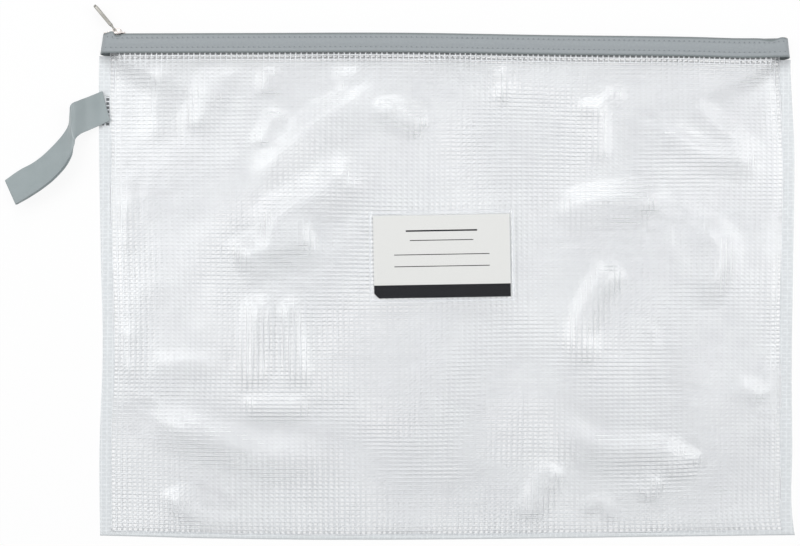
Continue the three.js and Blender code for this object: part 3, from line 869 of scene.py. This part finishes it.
def loop_row(name, starts, way, **finish):
    """Coil loops seen end on as flattened hexagons, carried from a thin tip, over a wide head
    and a neck, to a round heel; way is 1 for the front row and -1 for the back row."""
    reach = np.array([-0.42, -0.28, 0.1, 0.55, 1.6, 2.2, 2.45])
    wide = np.array([0.12, 0.36, 0.4, 0.26, 0.28, 0.26, 0.12])
    high = np.array([0.25, 0.5, 0.62, 0.58, 0.62, 0.55, 0.25])
    turn = np.arange(6) * np.pi / 3
    parted = PARTED * (1 - smooth((starts + 209) / 4))
    z = 5 + way * (reach + parted[:, None])
    x = starts[:, None, None] + wide[:, None] * np.cos(turn)
    ring = laid(x, COIL_MIDDLE_Y + high[:, None] * np.sin(turn), z[:, :, None])
    faces = tube_faces(reach.size, turn.size, len(starts), flip=way < 0)
    return mesh_of(name, ring, faces, look=(nylon,), **finish)


starts = np.arange(LOOP_FROM, LOOP_TO, LOOP_PITCH)
back_loops = loop_row("back_coil_loops", starts, -1, body="back_half")
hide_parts("zipper_coil_back")
starts = np.arange(LOOP_FROM + LOOP_PITCH / 2, LOOP_TO, LOOP_PITCH)
for end, (side, *_) in MOUTH_ENDS.items():
    loops = loop_row(f"front_coil_loops_{end}", starts[(starts < 0) == (side < 0)], 1)
    bow_open(loops)
    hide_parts("zipper_coil_front")

# Stops and slider: die-cast and stamped in nickel plate, rounded by tumbling. The front top
# stop is crimped to the end of the front tape, which stays shut when the mouth opens.
nickel = mottled(
    "nickel_plate", 700, (0.66, 0.60, 0.57, 1), (0.80, 0.75, 0.72, 1), detail=4,
    worn=(0.3, 0.5), grain=(0.00004, 0.3),
    Base_Color=(0.72, 0.66, 0.63, 1), Metallic=1.0, Roughness=0.28,
)


def tumbled(piece, radius):
    """Rounds a metal piece's edges over, in three steps."""
    round_over = piece.modifiers.new("tumbled", "BEVEL")
    round_over.width = radius / 1000
    round_over.segments = 3
    round_over.limit_method = "ANGLE"
    round_over.angle_limit = math.radians(35)
    round_over.use_clamp_overlap = True


def merged_copy(name, node):
    """A joined-up copy of a CAD node's loose triangles, for a piece that needs its own mesh."""
    shape = bmesh.new()
    shape.from_mesh(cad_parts[node].data)
    bmesh.ops.remove_doubles(shape, verts=shape.verts, dist=1e-6)
    bmesh.ops.dissolve_limit(shape, angle_limit=0.02, verts=shape.verts, edges=shape.edges)
    made = bpy.data.meshes.new(name)
    shape.to_mesh(made)
    shape.free()
    made.materials.clear()
    piece = bpy.data.objects.new(name, made)
    scene.collection.objects.link(piece)
    return piece


for name, node, radius, below_tape in (
    ("slider_casting", "slider_body", 0.3, None),
    ("front_top_stop", "top_stop_front", 0.14, 0),
    ("back_top_stop", "top_stop_back", 0.14, 0),
    ("foot_stop", "bottom_stop", 0.14, 0.5),
):
    metal = merged_copy(name, node)
    metal.data.materials.append(nickel)
    if below_tape is not None:  # a stop sags with its tape
        stamped = np.empty(3 * len(metal.data.vertices))
        metal.data.vertices.foreach_get("co", stamped)
        x, y, z = 1000 * stamped.reshape(-1, 3).T
        sagging = np.stack([x, as_laid(x, y)[1] - below_tape, z], -1) / 1000
        metal.data.vertices.foreach_set("co", sagging.ravel())
    tumbled(metal, radius)
    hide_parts(node)
    if node == "top_stop_front":
        bow_open(metal)
    else:
        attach(metal, "slider" if node == "slider_body" else "back_half")

# The crown is a thick low hump on the outer plate, and a small lip hangs from the plate's edge
# at each face, over the tape; all three are rounded blocks and part of the same casting.
SLIDER_BLOCKS = [  # middle, half width, reach below, reach above, half depth
    ((-208.2, 160.8, 5.0), 2.65, 0.4, 2.85, 1.3),
    ((-208.2, 160.35, 9.1), 2.65, 0.9, 0.85, 0.5),
    ((-208.2, 160.35, 1.2), 2.65, 0.9, 0.85, 0.5),
]
rise = np.linspace(-np.pi / 2, np.pi / 2, 25)[1:-1]
about = np.linspace(0, 2 * np.pi, 28, endpoint=False)
slim = np.abs(np.cos(rise))[:, None] ** 0.55


def rounded(wave, power):
    """A sine or cosine wave raised to a power below 1, which squares the shape that it draws."""
    return np.sign(wave) * np.abs(wave) ** power


blocks = []
for (x, y, z), half_wide, below, above, half_deep in SLIDER_BLOCKS:
    tall = np.where(rise < 0, below, above) * rounded(np.sin(rise), 0.9)
    blocks.append(np.stack([
        x + half_wide * slim * rounded(np.cos(about), 0.7),
        np.broadcast_to(y + tall[:, None], (rise.size, about.size)),
        z - half_deep * slim * rounded(np.sin(about), 0.7),
    ], -1))
faces = tube_faces(rise.size, about.size, len(blocks))
crown = mesh_of("slider_crown", np.concatenate(blocks), faces, body="slider", look=(nickel,))

# Pull: a flat stamped tongue with raised rims, plated a cooler silver than the slider, hung by
# its eye on the slider's crown.
PULL_AT = (-209.4, 162.05, 5.0)
PULL_TURN = math.radians(130)
PULL_LONG = 21.3
PULL_THICK = 1.02
ROOT_WIDE, TIP_WIDE = 5.2, 6.4
EYE_LONG, EYE_HALF_WIDE, EYE_WIRE = 4.3, 2.05, 0.5
silver = mottled(
    "pull_plate", 900, (0.33, 0.32, 0.29, 1), (0.47, 0.46, 0.43, 1), detail=3, worn=(0.34, 0.52),
    Base_Color=(0.4, 0.39, 0.36, 1), Metallic=1.0, Roughness=0.4,
)
BLADE_FROM, TIP_FROM = 0.19, 0.86  # shares of the pull's length
# The blade is one section, a thin plate with a round rim on either side, carried along a
# straight line. It widens slowly towards the tip, which is half an ellipse and thins out.
half = np.array([
    (-0.5, 0.55), (-0.47, 0.92), (-0.43, 1), (-0.38, 0.95), (-0.34, 0.66), (-0.2, 0.6),
    (0.2, 0.6), (0.34, 0.66), (0.38, 0.95), (0.43, 1), (0.47, 0.92), (0.5, 0.55), (0.492, 0.0),
])
section = np.concatenate([half, -half])
to_tip = TIP_FROM + (1 - TIP_FROM) * np.sin(np.linspace(0, np.pi / 2, 12)[1:])
reach = PULL_LONG * np.concatenate([np.linspace(BLADE_FROM, TIP_FROM, 24), to_tip])
tip = np.clip((reach - TIP_FROM * PULL_LONG) / ((1 - TIP_FROM) * PULL_LONG), 0, 1)
root = smooth((reach - BLADE_FROM * PULL_LONG) / 1.2 + 0.25)
wide = ROOT_WIDE + (TIP_WIDE - ROOT_WIDE) * smooth((reach - 4) / 12)
wide *= np.sqrt(1 - tip**2 + 2e-4)
thick = PULL_THICK * np.minimum(0.4 + 0.6 * root, np.sqrt(1 - 0.75 * tip**4))
blade = np.stack([
    np.broadcast_to(reach[:, None], (reach.size, len(section))),
    section[:, 1] * thick[:, None],
    section[:, 0] * wide[:, None],
], -1)
faces = tube_faces(reach.size, len(section))

# Its eye is a round wire bent into a rounded oblong.
turn = np.linspace(0, 2 * np.pi, 48, endpoint=False)
eye_x = np.where(np.cos(turn) > 0, EYE_LONG, 0) + 0.55 * rounded(np.cos(turn), 0.5) - 0.1
eye_path = np.stack([eye_x, 0 * eye_x, EYE_HALF_WIDE * rounded(np.sin(turn), 0.5)], -1)
eye_way = unit(np.roll(eye_path, -1, 0) - np.roll(eye_path, 1, 0))
eye_out = np.cross(eye_way, [0.0, 1, 0])
around = np.linspace(0, 2 * np.pi, 10, endpoint=False)
eye = eye_path[:, None] + EYE_WIRE * (
    np.cos(around)[:, None] * eye_out[:, None]
    + np.sin(around)[:, None] * np.array([0, 1.1, 0])
)
eye_faces = quads(turn.size + 1, around.size, closed=True) % (turn.size * around.size)
faces += [tuple(face) for face in (eye_faces + reach.size * len(section)).tolist()]
points = np.concatenate([blade.reshape(-1, 3), eye.reshape(-1, 3)])
x, y, z = points.T
hung = np.stack([*turned_to(x, y, PULL_TURN, PULL_AT), PULL_AT[2] + z], -1)
pull = mesh_of("pull_tongue", hung, faces, look=(silver,))
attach(pull, "pull")
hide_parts("pull_tab")

# Wrist strap: a smooth grey coated band folded double into a flat loop, its two ends welded
# into the side seam. It leaves the seam flat, rises over a crease and then leans on one edge.
STRAP = 0.9
STRAP_APART = 1.1
STRAP_EDGES = [  # along; then each edge: outwards from the side, down from the top, height
    (0, (-1.4, 35.7, 1.1), (-6.3, 54.4, 1.1)),
    (3, (0.8, 36.6, 1.1), (-0.6, 57.0, 1.1)),
    (9, (7.6, 39.6, 3.4), (6.6, 60.6, 3.4)),
    (14.5, (12.6, 42.2, 7), (11.8, 63.4, 7)),
    (19, (15.8, 44.6, 9.4), (14.8, 66.8, 9.6)),
    (24, (16.9, 50.4, 6.4), (14.9, 71.6, 11)),
    (30, (18.2, 56.8, 3.2), (15.6, 76.6, 12.6)),
    (38, (22.6, 63.8, 1.5), (18.8, 83.4, 13.4)),
    (48, (32.2, 74.0, 0.8), (25.4, 91, 13.2)),
    (60, (42, 81.8, 0.8), (34, 97.9, 12)),
    (70, (50.7, 86.4, 0.8), (43, 103.5, 10.2)),
    (80, (59.4, 92.4, 0.8), (50.9, 107.6, 8)),
]
out = np.linspace(0, 80, 100)


def strap_edge(edge):
    """One edge of the strap as a smooth line through its points."""
    along = [row[0] for row in STRAP_EDGES]
    beyond, below, high = (
        flowing(along, [row[edge][i] for row in STRAP_EDGES], out) for i in range(3)
    )
    x, y = squared(-220 - beyond, 160 - below)
    return np.stack([x, y, high + STRAP / 2], -1)


# The band is ruled between its two edges. It then goes back over itself, further out along a
# smoothed normal, and half a circle joins the two layers at the closed end of the loop.
upper_edge, lower_edge = strap_edge(1), strap_edge(2)
share = np.linspace(0, 1, 15)[:, None, None]
under = lower_edge * (1 - share) + upper_edge * share
over_normal = unit(np.cross(np.gradient(under, axis=0), np.gradient(under, axis=1)))
over_normal *= np.sign(over_normal[..., 2:3])
ends_held = np.pad(over_normal, ((0, 0), (6, 6), (0, 0)), mode="edge")
over_normal = unit(sum(ends_held[:, k : k + over_normal.shape[1]] for k in range(13)))
over = under + over_normal * STRAP_APART
loop_end = (under[:, -1:] + over[:, -1:]) / 2
end_way = unit(under[:, -1] - under[:, -2])
bend = np.linspace(-np.pi / 2, np.pi / 2, 11)[1:-1, None]
turn_back = (
    loop_end
    + np.cos(bend) * end_way[:, None] * STRAP_APART * 0.5
    + np.sin(bend) * over_normal[:, -1:] * STRAP_APART * 0.5
)
band = np.concatenate([under, turn_back, over[:, ::-1]], axis=1)
strap_look, tree, shader = principled(
    "coated_band", Base_Color=(0.33, 0.38, 0.385, 1), Roughness=0.42
)
RIDGE_COLUMN = 181.8  # the column of points along the crease's ridge, on the band's upper layer
mottle = spots(tree, 90, 4, (0.275, 0.32, 0.325, 1), (0.34, 0.385, 0.395, 1))["Tone"]
off = calc(tree, "ABSOLUTE", calc(tree, "SUBTRACT", split(tree, on_cloth(tree))["X"], RIDGE_COLUMN))
# Painted highlight: the band is drawn lighter in a narrow stripe along the crease's ridge, where
# the lamps catch the fold.
ridge_highlight = calc(tree, "MULTIPLY", near(tree, off, 0.9), 0.6)
feed(tree, shader, Base_Color=tone(tree, ridge_highlight, mottle, (0.52, 0.57, 0.58, 1)))
pebble = wire(tree, "TexVoronoi", Scale=1400, Vector=placed(tree)).outputs["Distance"]
dent(tree, shader, pebble, 0.00006, 0.25)
strap = film_mesh("wrist_band", band, STRAP, look=(strap_look, strap_look))
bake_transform(strap)
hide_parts("wrist_strap", "strap_anchor")

# The strap's cut ends go on a little way into the seam. Their colour is painted shade, nearly
# black in the scrim's windows, with the scrim's light tone painted between the windows.
shaded_ends_look, tree, shader = principled(
    "band_ends", Base_Color=(0.12, 0.13, 0.135, 1), Roughness=0.6
)
end_shade_tone = spots(tree, 700, 2, (0.08, 0.088, 0.095, 1), (0.16, 0.17, 0.18, 1))["Tone"]
at = split(tree, placed(tree))
shares = []
for axis, middle, pitch, half in (
    ("X", -0.2149, YARNS_APART[0], 0.001), ("Y", 0.1113, YARNS_APART[1], 0.0008),
):
    off = calc(tree, "PINGPONG", calc(tree, "SUBTRACT", at[axis], middle), pitch / 2)
    inside = calc(tree, "SUBTRACT", half + 0.0002, off)
    shares.append(calc(tree, "MULTIPLY", inside, 4000, clamp=True))
window = calc(tree, "MULTIPLY", *shares)
feed(tree, shader, Base_Color=tone(tree, window, (0.76, 0.78, 0.8, 1), end_shade_tone))
u, v = np.meshgrid(np.linspace(-218, -213.4, 9), np.linspace(102, 121.2, 12))
strap_ends = film_mesh(
    "wrist_band_ends", laid(u, v, weld_height(u, v) + WELD / 2 - 0.02), 0.06,
    body="back_half", look=(shaded_ends_look, shaded_ends_look),
)

# Label: a printed card slipped into a clear pocket that is welded to the front film on three
# sides. The card is white board with a black band, and rules for writing on.
LABEL_MIDDLE = squared(*LABEL_AT)
LABEL_TURN = math.radians(1) + LEAN
LABEL_BASE = 9.12


def on_label(u, v):
    """From places on the label to places on the pouch: turned a degree and moved."""
    return turned_to(u, v, LABEL_TURN, LABEL_MIDDLE)


card_look = mottled(
    "card_board", 1200, (0.735, 0.735, 0.715, 1), (0.79, 0.79, 0.77, 1), detail=4,
    grain=(0.00003, 0.2), Base_Color=(0.76, 0.76, 0.74, 1), Roughness=0.75,
)
ink_look = mottled(
    "black_ink", 800, (0.008, 0.008, 0.01, 1), (0.02, 0.02, 0.024, 1),
    Base_Color=(0.006, 0.006, 0.008, 1), Roughness=0.5, Specular_IOR_Level=0.15,
)


def flat_patch(name, outline, low, high, look):
    """A flat patch of card or ink: an outline on the label, from height low to high."""
    x, y = on_label(*np.array(outline, float).T)
    n = len(outline)
    points = np.concatenate([np.stack([x, y, np.full(n, h)], -1) for h in (low, high)])
    faces = [tuple(range(n))[::-1], tuple(range(n, 2 * n))]
    faces += [(i, (i + 1) % n, n + (i + 1) % n, n + i) for i in range(n)]
    patch = mesh_of(name, points, faces, look=(look,))
    patch.data.shade_flat()
    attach(patch, "front_half")
    return patch


CARD_FOOT = [(-43, -23), (-40, -26), (43, -26)]  # one corner is clipped
CARD_TOP = 9.7
card = flat_patch("label_board", [*CARD_FOOT, (43, 26), (-43, 26)], 9.4, CARD_TOP, card_look)
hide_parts("label_card")
INK_LOW = CARD_TOP + 0.001
flat_patch("label_black_band", [*CARD_FOOT, (43, -17.8), (-43, -17.8)], INK_LOW, 9.712, ink_look)
for word, u0, u1, v, wide in (
    ("first", -22.5, 22.5, 16.2, 0.5), ("second", -20, 20, 10.2, 0.25),
    ("third", -30, 30, 1.2, 0.25), ("fourth", -30, 30, -6.2, 0.25),
):
    rule = [(u0, v - wide), (u1, v - wide), (u1, v + wide), (u0, v + wide)]
    flat_patch(f"label_rule_{word}", rule, INK_LOW, 9.71, ink_look)

pocket_look, tree, shader = principled(
    "pocket_film", Base_Color=(0.85, 0.87, 0.89, 1), Roughness=0.1, Alpha=0.12, IOR=1.5,
    Coat_Weight=1.0,
)
dent(tree, shader, noise(tree, 60), 0.0006, 0.5)
parts = split(tree, on_cloth(tree))
borders = [
    calc(tree, "SUBTRACT", calc(tree, "ABSOLUTE", parts[axis]), half, clamp=True)
    for axis, half in (("X", 43.5), ("Y", 26.5))
]
border = calc(tree, "MAXIMUM", *borders)
feed(tree, shader, Alpha=calc(tree, "MULTIPLY_ADD", border, 0.2, 0.004))
# The pocket lies flat at its rim, steps up over the card's edge and is a little slack inside.
side = np.array([43.4, 43.9, 44.6, 45.2, 45.8])
u = np.concatenate([-side[::-1], np.linspace(-42, 42, 29), side])
v = np.concatenate([[-28.8, -28.2, -27.6, -26.9, -26.4], np.linspace(-25, 26, 18), [27.4, 28.8]])
u, v = np.meshgrid(u, v)
over_card = 0.72 * smooth((45 - abs(u)) / 2.2) * smooth((v + 28) / 2.2)
slack = 0.12 * waves(u, v, 22, 71) * smooth((43 - abs(u)) / 8) * smooth((v + 26) / 8)
middle = np.stack([*on_label(u, v), LABEL_BASE + 0.1 + over_card + slack], -1)
pocket = film_mesh(
    "label_pocket_film", middle, 0.15, cloth=(u, v), body="front_half",
    look=(pocket_look, pocket_look),
)
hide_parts("label_pocket")
pocket.visible_shadow = False
